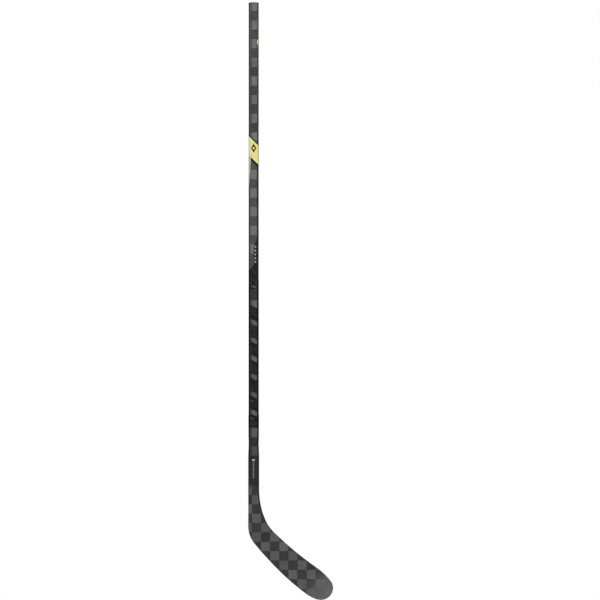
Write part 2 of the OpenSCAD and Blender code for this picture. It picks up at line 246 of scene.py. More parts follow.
def weave_at(x, y, nx, ny, z):
    """Column and row of the shaft's weave, and the painted corner shade: 1 over most of a rounded corner, 0 on
    the flat faces.

    The two wide faces have the same columns.
    """
    turn = math.atan2(abs(nx), abs(ny))
    # Painted shade: the rounded corners are made darker in colour, where they turn away from the lamps
    shade = float(np.interp(math.degrees(turn), [0, 10, 78, 90], [0, 1, 1, 0]))
    if turn < 1e-4:
        u = abs(x)
    elif turn > math.pi / 2 - 1e-4:
        u = FACE_X + CORNER_R * math.pi / 2 + SHAFT_T / 2 - CORNER_R - abs(y)
    else:
        u = FACE_X + CORNER_R * turn
    return (math.copysign(u, x) / SHAFT_COLUMN + 0.5, row_at(z), shade)


# ---------------------------------------------------------------- outline of the hosel and blade

LIE = 138.0
HEEL_TURN = 180 - LIE
BOTTOM_EDGE = [
    [(46, 0), (24, -3), (24, 3), (96, 0)],
    [(102, 0), (56, HEEL_TURN - 2.5)],
    [(99, 5.5), (108, 8.5)],
    [(17, 7), (21, 11), (14, 18), (55, 88)],
]
TOP_EDGE = [
    [(46, 0), (24, 3), (24, -3), (88, 0)],
    [(59, 14), (38, 11), (40, HEEL_TURN - 22)],
    [(123, 8), (28, 1.5)],
    [(18, 0), (27, -8.5), (27, -8), (20.5, -37)],
]
HOSEL_DROP = 190.0
U_TOE_END = 3.98
THICKNESS_AT = [(0, SHAFT_T), (0.24, SHAFT_T), (1, 15.5), (1.5, 13), (2, 9.5), (3, 6.2), (3.8, 5),
                (U_TOE_END, 3)]
WALL_AT = [(0, WALL + PLY), (1, 1.6), (2, 1), (3.8, 1), (U_TOE_END, 0.8)]
CURVE_DEPTH = 17.0
FACE_LOFT = 7.0
BLADE_LEN = 269.0
CURVE_FROM = 30.0


def lookup(u, table):
    return float(np.interp(u, [k for k, v in table], [v for k, v in table]))


def arc_step(p, length, turn):
    """State (x, z, heading) after an arc of the given length and turn."""
    x, z, heading = p
    a, b = math.radians(heading), math.radians(heading + turn)
    if abs(turn) < 0.01:
        return (x + length * math.cos(a), z + length * math.sin(a), heading + turn)
    r = length / math.radians(turn)
    return (x + r * (math.sin(b) - math.sin(a)), z - r * (math.cos(b) - math.cos(a)), heading + turn)


def edge_point(start, chain, u):
    """Point [x, z] at u along a chain of spans, each a list of arcs (length, turn)."""
    p = start
    for k, span in enumerate(chain):
        total = sum(length for length, turn in span)
        left = min(max(u - k, 0.0), 1.0) * total
        for length, turn in span:
            part = min(left, length)
            p = arc_step(p, part, turn * part / length)
            left -= part
        if u <= k + 1:
            break
    return np.array(p[:2])


def along_blade(x, z):
    """Share of the blade's length that a point lies beyond the heel."""
    a = math.radians(HEEL_TURN - 90)
    return max(0.0, x * math.cos(a) + (z - HEEL_Z) * math.sin(a) - CURVE_FROM) / (BLADE_LEN - CURVE_FROM)


def mid_y(x, z, s):
    """Offset of the mid surface: the toe curves to the forehand and the face leans back."""
    d = along_blade(x, z)
    return -CURVE_DEPTH * d * d + s * math.tan(math.radians(FACE_LOFT)) * min(1.0, d)


FACE_STEPS = 10
EDGE_STEPS = 6


def blade_section(length, t, inset, wall):
    """A full section [s, y], from the top edge's seam round the backhand side and back by the forehand."""
    a, h = length / 2 - inset, t / 2 - inset
    r = max(0.15, min(min(CORNER_R - WALL - PLY, 0.35 * (t - 2 * wall)) + wall - inset, a * 0.9, h * 0.98))
    half = [(a, 0.0)]
    for i in range(EDGE_STEPS + 1):
        g = math.radians(90 * i / EDGE_STEPS)
        half.append((a - r + r * math.cos(g), h - r + r * math.sin(g)))
    for i in range(1, FACE_STEPS):
        half.append(((a - r) * (1 - 2 * i / FACE_STEPS), h))
    for i in range(EDGE_STEPS + 1):
        g = math.radians(90 + 90 * i / EDGE_STEPS)
        half.append((-a + r + r * math.cos(g), h - r + r * math.sin(g)))
    half.append((-a, 0.0))
    return half + [(s, -y) for s, y in reversed(half[1:-1])]


SEAM_B = 2 * (EDGE_STEPS + 1) + FACE_STEPS
SECTION_N = 2 * SEAM_B


def blade_ring(u, inset_share, extra=0.0):
    low = edge_point((-SHAFT_W / 2, FUSE_Z, -90.0), BOTTOM_EDGE, u)
    high = edge_point((SHAFT_W / 2, FUSE_Z, -90.0), TOP_EDGE, u)
    length = np.linalg.norm(high - low)
    way = (high - low) / length
    mid = (high + low) / 2
    wall = lookup(u, WALL_AT)
    ring = []
    for s, y in blade_section(length, lookup(u, THICKNESS_AT), inset_share * wall - extra, wall):
        x, z = mid + s * way
        ring.append((x, y + mid_y(x, z, s), z))
    return ring


def grid_normals(grid):
    """Outward normals of a ring grid [row, column, xyz], from its neighbours."""
    along = np.gradient(grid, axis=0)
    around = np.roll(grid, -1, axis=1) - np.roll(grid, 1, axis=1)
    n = np.cross(around, along)
    size = np.linalg.norm(n, axis=2, keepdims=True)
    return -n / np.maximum(size, 1e-9)


BLADE_US = np.concatenate([
    np.linspace(0, 1, 28)[:-1],
    np.linspace(1, 2, 64)[:-1],
    np.linspace(2, 3, 40)[:-1],
    3 + (U_TOE_END - 3) * np.sin(np.linspace(0, math.pi / 2, 64)),
])
BLADE_OUTER = np.array([blade_ring(u, 0) for u in BLADE_US])
BLADE_INNER = np.array([blade_ring(u, 1) for u in BLADE_US])
BLADE_NORMALS = grid_normals(BLADE_OUTER)

# The shaft's ply runs down over the hosel to a seam, and the blade's ply has its own squares.
SEAM_ROW = 48
BLADE_COLUMN = 26.9
BLADE_COLUMN_START = -5.3
BLADE_ROW = 27.6
BLADE_ROW_START = down(1422)

BLADE_WEAVE = np.zeros_like(BLADE_OUTER)
BLADE_WEAVE[..., 0] = BLADE_OUTER[..., 0] / SHAFT_COLUMN + 0.5
BLADE_WEAVE[..., 1] = row_at(BLADE_OUTER[..., 2])


def painted_hosel_shade():
    """Painted shade on the hosel and heel: how dark each point is painted; the corners are, down to the heel.
    """
    shade = np.zeros(BLADE_OUTER.shape[:2])
    top = np.interp(BLADE_US, [0, 1.25, 1.75], [1, 1, 0])
    heel = np.interp(BLADE_US, [0, 0.9, 1.3], [1, 1, 0])
    for k in range(-EDGE_STEPS, EDGE_STEPS + 1):
        shade[:, k % SECTION_N] = top
        shade[:, SEAM_B + k] = heel
    return shade


# Painted shade: the hosel's corners are painted dark, fading out along the blade
BLADE_WEAVE[..., 2] = painted_hosel_shade()


# ---------------------------------------------------------------- transfer films on the shaft


def inside(x, z, outline):
    """True if [x, z] lies inside a closed outline."""
    odd = False
    for i, (x1, z1) in enumerate(outline):
        x2, z2 = outline[i - 1]
        if (z1 > z) != (z2 > z) and x < (x2 - x1) * (z - z1) / (z2 - z1) + x1:
            odd = not odd
    return odd


def wrapped_patch(outlines, holes, lift, heights):
    """The part of the shaft's surface that lies inside an outline and in no hole, both drawn in X and Z.

    Returns a bmesh on the bare section, lifted by lift(z).
    """
    ring = section(SHAFT_W, SHAFT_T, CORNER_R)
    bm = bmesh.new()
    grid = [[bm.verts.new((x, y, z)) for x, y, nx, ny, s in ring] for z in heights]
    for i in range(len(heights) - 1):
        for j in range(len(ring)):
            k = (j + 1) % len(ring)
            bm.faces.new((grid[i][j], grid[i + 1][j], grid[i + 1][k], grid[i][k]))
    for outline in list(outlines) + list(holes):
        for i, (x1, z1) in enumerate(outline):
            x2, z2 = outline[i - 1]
            cut_patch(bm, (x1, z1), (z2 - z1, x1 - x2))
    gone = []
    for f in bm.faces:
        c = f.calc_center_median()
        kept = any(inside(c.x, c.z, o) for o in outlines) and not any(inside(c.x, c.z, h) for h in holes)
        if not kept:
            gone.append(f)
    bmesh.ops.delete(bm, geom=gone, context="FACES")
    for v in bm.verts:
        n = section_normal(v.co.x, v.co.y)
        up = lift(v.co.z)
        v.co = Vector((v.co.x + n[0] * up, v.co.y + n[1] * up, v.co.z))
    return bm


def cut_patch(bm, point, way):
    """Cuts a patch along the line through the point [x, z] that is square to way."""
    geom = bm.verts[:] + bm.edges[:] + bm.faces[:]
    bmesh.ops.bisect_plane(bm, geom=geom, dist=1e-4, plane_co=(point[0], 0, point[1]),
                           plane_no=(way[0], 0, way[1]))


def ends_of(outlines):
    """Highest and lowest point of some outlines."""
    heights = [z for outline in outlines for x, z in outline]
    return [max(heights), min(heights)]


def thicken(sheet, bm, thickness, normal_at, weave_of):
    """Adds a bmesh patch to the sheet as a closed film of the given thickness."""
    bm.verts.index_update()
    normals = [normal_at(v.co) for v in bm.verts]
    top, under = [], []
    for v, n in zip(bm.verts, normals):
        w = weave_of(v.co, n)
        p = np.array(v.co)
        top.append(sheet.add(p + n * thickness, w))
        under.append(sheet.add(p, w))
    for f in bm.faces:
        ids = [v.index for v in f.verts]
        n = f.normal if f.normal.length > 0 else Vector(normals[ids[0]])
        if np.dot(np.array(n), normals[ids[0]]) < 0:
            ids.reverse()
        sheet.face([top[i] for i in ids], [normals[i] for i in ids])
        sheet.face([under[i] for i in reversed(ids)], [-normals[i] for i in reversed(ids)])
        for a, b in zip(ids, ids[1:] + ids[:1]):
            edge = bm.edges.get((bm.verts[a], bm.verts[b]))
            if edge is not None and len(edge.link_faces) == 1:
                sheet.face([top[a], under[a], under[b], top[b]])
    bm.free()


def film(name, node, material, outlines, holes=(), slot=None, heights=None):
    """A film that wraps the shaft inside the outlines, apart from the holes."""
    sheet = Sheet(name)
    bm = wrapped_patch(outlines, holes, wrap_out, heights or ends_of(outlines))
    bm.verts.ensure_lookup_table()
    thicken(sheet, bm, FILM, lambda c: section_normal(c.x, c.y),
            lambda c, n: weave_at(c.x, c.y, n[0], n[1], c.z))
    return sheet.make(STICK, material, node, slot=slot)


def ring_film(sheet, rings, thickness, open_middle=False):
    """A film between closed rings of (point, normal), from the rim in; the last is its hole or middle."""
    n = len(rings[0])
    (p0, n0), p1 = rings[0][0], rings[0][1][0]
    middle = sum(np.array(p) for p, n in rings[0]) / n
    if np.dot(np.cross(np.array(p1) - p0, middle - p0), n0) < 0:
        rings = [list(reversed(ring)) for ring in rings]
    top, under, normals = [], [], []
    for ring in rings:
        weave = [weave_at(p[0], p[1], m[0], m[1], p[2]) for p, m in ring]
        top.append([sheet.add(np.array(p) + np.array(m) * thickness, w) for (p, m), w in zip(ring, weave)])
        under.append([sheet.add(p, w) for (p, m), w in zip(ring, weave)])
        normals.append([np.array(m) for p, m in ring])
    for i in range(len(rings) - 1):
        for j in range(n):
            k = (j + 1) % n
            sheet.face([top[i][j], top[i][k], top[i + 1][k], top[i + 1][j]],
                       [normals[i][j], normals[i][k], normals[i + 1][k], normals[i + 1][j]])
            sheet.face([under[i][j], under[i + 1][j], under[i + 1][k], under[i][k]],
                       [-normals[i][j], -normals[i + 1][j], -normals[i + 1][k], -normals[i][k]])
    for j in range(n):
        k = (j + 1) % n
        sheet.face([top[0][k], top[0][j], under[0][j], under[0][k]])
        if open_middle:
            sheet.face([top[-1][j], top[-1][k], under[-1][k], under[-1][j]])
    if not open_middle:
        sheet.face(top[-1], normals[-1])
        sheet.face(list(reversed(under[-1])), [-m for m in reversed(normals[-1])])


def slanted(x0, x1, top, h, fall):
    """Outline of a strip from x0 to x1 that falls towards +X."""
    return [(x0, top), (x1, top - fall), (x1, top - fall - h), (x0, top - h)]


REACH = SHAFT_W
SIDE_X = 13.8
FOOT_X = 8.5
BAND_DOWN = 391.5
BAND_H = 56.0
BAND_LINE_H = 5.0
BAND_FOOT_H = 10.0
FOOT_DOWN = BAND_DOWN + BAND_H
PANEL_DOWN = FOOT_DOWN + BAND_FOOT_H
MARK_DOWN = 427.5
MARK_W, MARK_H, MARK_HOLE = 16.0, 26.0, 3.5
BADGE_DOWN = 115.0
BADGE_S, BADGE_R, BADGE_RIM = 15.5, 14.0, 2.4
SIDE_FOOT = 810.5
STRIPE_FOOT = 816.5
WEDGE_TOP = 695.5
WEDGE_BOTTOM = 716.5
GRIP_FOOT = 765.5
SLANT_FOOT = 785.5
BOX_DOWN, BOX_W, BOX_H, BOX_LINE = 795.5, 15.0, 52.0, 1.2
SLIT_DOWN, SLIT_W, SLIT_H = 832.0, 11.0, 4.0
LIGHT_DOWN, LIGHT_LEFT, LIGHT_RIGHT = 849.5, 888.5, 899.5
GLOSS_DOWN = 903.0
WINDOW_DOWN = 929.5
WINDOW_PITCH = 53.2
WINDOW_H = 14.0
WINDOW_DROP = 9.0
SLIVER_AFTER, SLIVER_H = 25.0, 3.0
CHIPS_DOWN, CHIP_PITCH, CHIP_X, CHIP_W, CHIP_H = 718.5, 11.0, 5.0, 4.6, 6.0
TICKS_DOWN, TICKS_X, TICK_PITCH = 1346.5, -0.6, 6.5
RIDGE_PITCH, RIDGE_W, RIDGE_H, RIDGE_SLOPE = 6.0, 2.0, 0.3, 0.3


def on_slope(x, d):
    """Point at x on a line that falls across the shaft at 45 degrees, from d down on the heel side."""
    return (x, down(d) - (x + SHAFT_W / 2))


def band_outline(d, h, x0, x1):
    return [on_slope(x0, d), on_slope(x1, d), on_slope(x1, d + h), on_slope(x0, d + h)]


# ---------------------------------------------------------------- materials


class Shader:
    """A small helper that builds one material's node tree."""

    def __init__(self, name):
        self.material = bpy.data.materials.new(name)
        self.material.use_nodes = True
        self.tree = self.material.node_tree
        self.tree.nodes.clear()
        self.out = self.tree.nodes.new("ShaderNodeOutputMaterial")
        self.surface = self.tree.nodes.new("ShaderNodeBsdfPrincipled")
        self.link(self.surface.outputs[0], self.out.inputs["Surface"])

    def link(self, a, b):
        self.tree.links.new(a, b)

    def feed(self, socket, value):
        if hasattr(value, "is_output"):
            self.link(value, socket)
        else:
            socket.default_value = value

    def node(self, kind, **settings):
        made = self.tree.nodes.new(kind)
        for key, value in settings.items():
            setattr(made, key, value)
        return made

    def math(self, operation, a, b=0.0, c=0.0, clamp=False):
        made = self.node("ShaderNodeMath", operation=operation, use_clamp=clamp)
        for socket, value in zip(made.inputs, (a, b, c)):
            self.feed(socket, value)
        return made.outputs[0]

    def split(self, vector):
        made = self.node("ShaderNodeSeparateXYZ")
        self.link(vector, made.inputs[0])
        return made.outputs

    def join(self, x, y, z=0.0):
        made = self.node("ShaderNodeCombineXYZ")
        for socket, value in zip(made.inputs, (x, y, z)):
            self.feed(socket, value)
        return made.outputs[0]

    def place(self):
        """Position in the object's own frame, in millimetres."""
        made = self.node("ShaderNodeVectorMath", operation="SCALE")
        self.link(self.node("ShaderNodeTexCoord").outputs["Object"], made.inputs[0])
        made.inputs["Scale"].default_value = 1 / MM
        return made.outputs[0]

    def weave(self):
        return self.node("ShaderNodeAttribute", attribute_name="weave").outputs["Vector"]

    def noise(self, vector, scale=1.0, detail=2.0, roughness=0.5):
        made = self.node("ShaderNodeTexNoise")
        self.link(vector, made.inputs["Vector"])
        made.inputs["Scale"].default_value = scale
        made.inputs["Detail"].default_value = detail
        made.inputs["Roughness"].default_value = roughness
        return made.outputs[0]

    def stretch(self, value, low, high, to_low=0.0, to_high=1.0, smooth=True):
        made = self.node("ShaderNodeMapRange", interpolation_type="SMOOTHSTEP" if smooth else "LINEAR")
        for socket, v in zip(made.inputs, (value, low, high, to_low, to_high)):
            self.feed(socket, v)
        return made.outputs[0]

    def mix(self, factor, a, b):
        """Mix of two numbers."""
        made = self.node("ShaderNodeMix", data_type="FLOAT")
        for socket, value in zip((made.inputs[0], made.inputs[2], made.inputs[3]), (factor, a, b)):
            self.feed(socket, value)
        return made.outputs[0]

    def tint(self, colour, level):
        """A colour times a number."""
        made = self.node("ShaderNodeMix", data_type="RGBA", blend_type="MULTIPLY")
        made.inputs[0].default_value = 1.0
        self.feed(made.inputs[6], colour)
        grey = self.node("ShaderNodeCombineColor")
        for socket in grey.inputs:
            self.feed(socket, level)
        self.link(grey.outputs[0], made.inputs[7])
        return made.outputs[2]

    def blend(self, factor, a, b):
        """Mix of two colours."""
        made = self.node("ShaderNodeMix", data_type="RGBA")
        for socket, value in zip((made.inputs[0], made.inputs[6], made.inputs[7]), (factor, a, b)):
            self.feed(socket, value)
        return made.outputs[2]

    def bump(self, height, distance, strength=1.0):
        made = self.node("ShaderNodeBump")
        made.inputs["Strength"].default_value = strength
        made.inputs["Distance"].default_value = distance * MM
        self.link(height, made.inputs["Height"])
        self.link(made.outputs[0], self.surface.inputs["Normal"])

    def finish(self, colour, roughness, coat=0.0, coat_roughness=0.1, specular=0.5):
        s = self.surface.inputs
        self.feed(s["Base Color"], colour)
        self.feed(s["Roughness"], roughness)
        s["Coat Weight"].default_value = coat
        s["Coat Roughness"].default_value = coat_roughness
        s["Specular IOR Level"].default_value = specular
        return self.material


def checker(sh, column, row):
    """Nodes of a spread-tow weave.

    They are 1 on the squares whose tows run across, streaks, pillow, the square's own shade, and the place
    across the square.
    """
    ci, ri = sh.math("FLOOR", column), sh.math("FLOOR", row)
    parity = sh.math("MULTIPLY", sh.math("FRACT", sh.math("MULTIPLY", sh.math("ADD", ci, ri), 0.5)), 2.0)
    cf, rf = sh.math("FRACT", column), sh.math("FRACT", row)
    streaks = []
    for across, along in ((row, column), (column, row)):
        fine = sh.noise(sh.join(sh.math("MULTIPLY", along, 1.6),
                                sh.math("MULTIPLY", across, 44.0), ri), 1.0, 3.0)
        broad = sh.noise(sh.join(sh.math("MULTIPLY", along, 0.7),
                                 sh.math("MULTIPLY", across, 9.0), ci), 1.0, 1.0)
        streaks.append(sh.math("ADD", sh.math("MULTIPLY", fine, 0.6), sh.math("MULTIPLY", broad, 0.4)))
    streak = sh.mix(parity, streaks[1], streaks[0])
    edges = []
    for f in (cf, rf):
        edges.append(sh.math("MINIMUM", f, sh.math("SUBTRACT", 1.0, f)))
    edge = sh.math("MINIMUM", edges[0], edges[1])
    pillow = sh.stretch(edge, 0.0, 0.05)
    own = sh.node("ShaderNodeTexWhiteNoise", noise_dimensions="2D")
    sh.link(sh.join(ci, ri), own.inputs["Vector"])
    return parity, streak, pillow, own.outputs["Value"], cf


# Levels (light square, dark square) on the upper shaft, on the lower shaft and hosel, and on the blade
UPPER_LEVELS = (0.128, 0.040)
LOWER_LEVELS = (0.092, 0.026)
BLADE_LEVELS = (0.083, 0.027)
UPPER_ROW, LOWER_ROW = 15.0, 31.0
PLAIN_LEVEL = 0.017
# Painted light: where the blade starts to lighten towards the toe, and the level it reaches
TOE_PAINTED_LIGHT_FROM, TOE_PAINTED_LIGHT_LEVEL = 208.0, 0.09


def carbon(name, corner, rough=0.34, coat=0.25):
    """Satin spread-tow carbon in squares; corner is the level of the painted shade on the rounded corners.

    The shaft's squares run down to a seam on the hosel. Below it the ply is plain as far as the blade,
    which has squares of its own.
    """
    sh = Shader(name)
    u, v, shade = sh.split(sh.weave())
    x, y, z = sh.split(sh.place())
    under = sh.math("GREATER_THAN", v, float(SEAM_ROW))
    column = sh.math("DIVIDE", sh.math("SUBTRACT", x, BLADE_COLUMN_START), BLADE_COLUMN)
    row = sh.math("DIVIDE", sh.math("SUBTRACT", BLADE_ROW_START, z), BLADE_ROW)
    lower = sh.stretch(v, UPPER_ROW, LOWER_ROW)
    parity, streak, pillow, own, side = checker(sh, sh.mix(under, u, column), sh.mix(under, v, row))
    levels = []
    for kind in (0, 1):
        shaft = sh.mix(lower, UPPER_LEVELS[kind], LOWER_LEVELS[kind])
        shaft = sh.math("MULTIPLY", shaft, sh.stretch(v, SEAM_ROW - 2.5, float(SEAM_ROW), 1.0, 0.6))
        levels.append(sh.mix(under, shaft, BLADE_LEVELS[kind]))
    # Painted shade: the left part of each light square on the shaft is darker, as if lit from the right
    left = sh.mix(under, sh.stretch(side, 0.28, 0.36, 0.5, 1.0), 1.0)
    level = sh.mix(parity, levels[1], sh.math("MULTIPLY", levels[0], left))
    level = sh.math("MULTIPLY", level, sh.stretch(own, 0.0, 1.0, 0.88, 1.12, smooth=False))
    level = sh.math("MULTIPLY", level, sh.stretch(pillow, 0.0, 1.0, 0.7, 1.0))
    plain = sh.math("MULTIPLY", under, sh.math("LESS_THAN", row, 0.0))
    level = sh.mix(plain, level, PLAIN_LEVEL)
    # Painted light: the blade is lighter towards the toe, standing in for its curve catching the lamps
    a = math.radians(HEEL_TURN - 90)
    along = sh.math("ADD", sh.math("MULTIPLY", x, math.cos(a)),
                    sh.math("MULTIPLY", sh.math("SUBTRACT", z, HEEL_Z), math.sin(a)))
    toe = sh.stretch(along, TOE_PAINTED_LIGHT_FROM - 10, TOE_PAINTED_LIGHT_FROM + 40, 0.0, 0.8)
    level = sh.mix(toe, level, TOE_PAINTED_LIGHT_LEVEL)
    # Painted shade: the colour is pulled to the corner level on the rounded corners
    level = sh.mix(shade, level, corner)
    level = sh.math("MULTIPLY", level, sh.stretch(streak, 0.3, 0.7, 0.76, 1.24, smooth=False))
    broad = sh.noise(sh.place(), 0.011, 1.0)
    level = sh.math("MULTIPLY", level, sh.stretch(broad, 0.3, 0.7, 0.9, 1.1))
    colour = sh.tint((1.0, 1.0, 1.005, 1.0), level)
    wear = sh.noise(sh.place(), 0.09, 4.0, 0.6)
    roughness = sh.math("ADD", sh.stretch(wear, 0.3, 0.7, rough - 0.05, rough + 0.07),
                        sh.math("MULTIPLY", parity, -0.03))
    height = sh.math("ADD", sh.math("MULTIPLY", pillow, 0.7), sh.math("MULTIPLY", streak, 0.5))
    sh.bump(height, 0.05)
    return sh.finish(colour, roughness, coat, 0.16, 0.35)


def raw_laminate():
    sh = Shader("raw_laminate")
    x, y, z = sh.split(sh.place())
    turns = sh.math("ADD", sh.math("MULTIPLY", z, 0.7), sh.math("MULTIPLY", x, 0.5))
    plies = sh.noise(sh.join(turns, sh.math("MULTIPLY", y, 0.05)), 1.0, 3.0)
    level = sh.stretch(plies, 0.3, 0.7, 0.02, 0.05)
    sh.bump(plies, 0.08)
    return sh.finish(sh.tint((1.0, 1.0, 1.02, 1.0), level), 0.55)


def gloss_film(name, colour, corner_shading_colour, rough=0.16, coat=0.6, mottle=0.1, ply=0.0):
    """Smooth printed film: a little orange peel, fine scuffs, and the slanted tows under it showing faintly.

    Its colour changes to corner_shading_colour on the shaft's rounded corners, as painted shading.
    """
    sh = Shader(name)
    p = sh.place()
    x, y, z = sh.split(p)
    u, v, shade = sh.split(sh.weave())
    cloud = sh.noise(p, 0.04, 3.0)
    speck = sh.noise(p, 1.7, 2.0)
    level = sh.stretch(cloud, 0.3, 0.7, 1 - mottle, 1 + mottle)
    level = sh.math("MULTIPLY", level, sh.stretch(speck, 0.3, 0.7, 0.97, 1.03))
    if ply:
        across = sh.math("MULTIPLY", sh.math("ADD", x, z), 0.14)
        along = sh.math("MULTIPLY", sh.math("SUBTRACT", x, z), 0.03)
        tows = sh.noise(sh.join(across, along, sh.math("MULTIPLY", y, 0.05)), 1.0, 1.0)
        level = sh.math("MULTIPLY", level, sh.stretch(tows, 0.35, 0.65, 1 - ply, 1 + ply))
    scuff = sh.noise(sh.join(sh.math("MULTIPLY", x, 1.1), sh.math("MULTIPLY", y, 1.1),
                             sh.math("MULTIPLY", z, 0.04)), 1.0, 4.0, 0.7)
    roughness = sh.stretch(scuff, 0.45, 0.75, rough, rough + 0.16)
    peel = sh.noise(p, 0.25, 2.0)
    sh.bump(sh.math("ADD", peel, sh.math("MULTIPLY", scuff, 0.15)), 0.06)
    # Painted shading: the film's colour turns to the corner colour on the rounded corners
    base = sh.blend(shade, (*colour, 1.0), (*corner_shading_colour, 1.0))
    return sh.finish(sh.tint(base, level), roughness, coat, 0.06, 0.4)


def grip_mesh():
    """Rubbery mesh over the checker; the third weave number is 1 on its ridges and 0 between them. The ridges
    are painted lighter and the cells darker, as painted shading of the raised mesh.
    """
    sh = Shader("grip_mesh")
    u, v, ridge = sh.split(sh.weave())
    parity, streak, pillow, own, side = checker(sh, u, v)
    # Painted shading: light ridges and dark cells stand in for the light and shade on the raised mesh
    cells = sh.mix(parity, 0.006, 0.02)
    ridges = sh.mix(parity, 0.066, 0.185)
    level = sh.mix(ridge, cells, ridges)
    fine = sh.noise(sh.place(), 1.6, 3.0)
    level = sh.math("MULTIPLY", level, sh.stretch(fine, 0.3, 0.7, 0.88, 1.12))
    sh.bump(fine, 0.03)
    return sh.finish(sh.tint((1.0, 1.0, 1.01, 1.0), level), sh.stretch(fine, 0.3, 0.7, 0.56, 0.7))


def moulded(name, colour, rough=0.55, grain=0.9, depth=0.05):
    """Moulded plastic or rubber with a fine grain."""
    sh = Shader(name)
    p = sh.place()
    fine = sh.noise(p, grain, 3.0)
    broad = sh.noise(p, 0.12, 2.0)
    level = sh.stretch(broad, 0.3, 0.7, 0.85, 1.15)
    sh.bump(fine, depth)
    return sh.finish(sh.tint((*colour, 1.0), level), sh.stretch(fine, 0.3, 0.7, rough - 0.06, rough + 0.08))


def foam(name, colour):
    """Closed-cell foam."""
    sh = Shader(name)
    cells = sh.node("ShaderNodeTexVoronoi")
    sh.link(sh.place(), cells.inputs["Vector"])
    cells.inputs["Scale"].default_value = 1.4
    level = sh.stretch(cells.outputs["Distance"], 0.0, 0.8, 0.8, 1.05)
    sh.bump(cells.outputs["Distance"], 0.15)
    return sh.finish(sh.tint((*colour, 1.0), level), 0.8)


# The second number is the level of the painted shade on the rounded corners
SHAFT_CARBON = carbon("shaft_checker", 0.036)
BLADE_CARBON = carbon("blade_checker", 0.005)
LAMINATE = raw_laminate()
EDGE_PLY = carbon("edge_ply", 0.03, rough=0.6, coat=0.0)
# The second colour of each film is its painted corner shading
YELLOW = gloss_film("yellow_film", (0.72, 0.64, 0.225), (0.60, 0.60, 0.33), 0.24, 0.3, 0.05)
PALE = gloss_film("pale_film", (0.46, 0.44, 0.29), (0.42, 0.42, 0.29), 0.28, 0.3, 0.1)
BLACK = gloss_film("black_film", (0.010, 0.010, 0.010), (0.006, 0.006, 0.005), 0.2, 0.3)
GLOSS_BLACK = gloss_film("gloss_black_film", (0.014, 0.014, 0.0145), (0.003, 0.003, 0.003), 0.14, 0.35,
                         0.1, ply=0.45)
BADGE_YELLOW = gloss_film("badge_yellow", (0.68, 0.70, 0.42), (0.60, 0.66, 0.40), 0.22, 0.4, 0.05)
BADGE_OLIVE = gloss_film("badge_olive", (0.04, 0.045, 0.03), (0.05, 0.06, 0.035), 0.25, 0.3)
BADGE_CORE = gloss_film("badge_core", (0.16, 0.18, 0.10), (0.16, 0.18, 0.10), 0.25, 0.3)
GREY = gloss_film("grey_film", (0.26, 0.265, 0.25), (0.2, 0.2, 0.2), 0.3, 0.2, 0.05)
TICK = gloss_film("tick_film", (0.42, 0.42, 0.33), (0.4, 0.4, 0.3), 0.3, 0.2, 0.05)
GRIP = grip_mesh()
PLUG_BLACK = moulded("plug_black", (0.022, 0.022, 0.023), 0.5, 1.2, 0.06)
GLUE = moulded("cured_glue", (0.45, 0.38, 0.2), 0.3, 0.4, 0.02)
FOAM = foam("core_foam", (0.72, 0.66, 0.5))
FILLER = moulded("dense_filler", (0.28, 0.26, 0.22), 0.7, 0.8, 0.08)
TOE_RUBBER = moulded("toe_elastomer", (0.03, 0.03, 0.032), 0.7, 0.8, 0.05)

# ---------------------------------------------------------------- pieces of the shaft


def make_shaft():
    heights = [BUTT_Z, BUTT_Z - 1] + list(np.linspace(BUTT_Z - 40, down(CLOSE_DOWN), 18))
    heights += list(np.linspace(down(CLOSE_DOWN), FUSE_Z, 7)[1:])
    wall = Sheet("shaft_tube_fine")
    tube(wall, SHAFT_W - 2 * PLY, SHAFT_T - 2 * PLY, CORNER_R - PLY, WALL, heights)
    wall.make(STICK, LAMINATE, "shaft_tube", slot="raw_laminate")
    outer = Sheet("shaft_ply_fine")
    tube(outer, SHAFT_W, SHAFT_T, CORNER_R, PLY, heights)
    outer.make(STICK, SHAFT_CARBON, "shaft_checker_ply", slot="checker_carbon")
    wrap = Sheet("fuse_wrap_fine")
    heights = np.linspace(WRAP_HIGH[2], WRAP_LOW[2], 44)
    tube(wrap, SHAFT_W, SHAFT_T, CORNER_R, 0.05, heights, lift=lambda z: wrap_out(z) + 0.02)
    wrap.make(STICK, BLADE_CARBON, "fuse_wrap", slot="wrap_laminate")


# Thickness of the edge plies, at their start and beyond it, and the share of a span over which it grows
EDGE_START_T, EDGE_T, EDGE_TAPER = 0.04, 0.3, 0.2


def make_blade():
    for name, node, a, b in (("backhand_skin_fine", "backhand_skin", 0, SEAM_B + 1),
                             ("forehand_skin_fine", "forehand_skin", SEAM_B, SECTION_N + 1)):
        columns = [j % SECTION_N for j in range(a, b)]
        sheet = Sheet(name)
        solid_grid(sheet, BLADE_OUTER[:, columns], BLADE_NORMALS[:, columns], BLADE_INNER[:, columns],
                   BLADE_WEAVE[:, columns])
        sheet.make(STICK, BLADE_CARBON, node, slot="blade_carbon")
    reach = EDGE_STEPS + 1
    for name, node, middle, u0 in (("bottom_edge_fine", "bottom_edge_ply", SEAM_B, 1.5),
                                   ("top_edge_fine", "top_edge_ply", SECTION_N, 2.0)):
        columns = [j % SECTION_N for j in range(middle - reach, middle + reach + 1)]
        rows = [i for i, u in enumerate(BLADE_US) if u >= u0 - 1e-6]
        at = np.ix_(rows, columns)
        us = BLADE_US[rows]
        lifts = np.interp(us, [u0, u0 + EDGE_TAPER], [EDGE_START_T, EDGE_T])
        raised = np.array([blade_ring(u, 0, lift) for u, lift in zip(us, lifts)])
        normals = grid_normals(raised)
        sheet = Sheet(name)
        solid_grid(sheet, raised[:, columns], normals[:, columns], BLADE_OUTER[at], BLADE_WEAVE[at])
        sheet.make(STICK, EDGE_PLY, node, slot="edge_laminate")


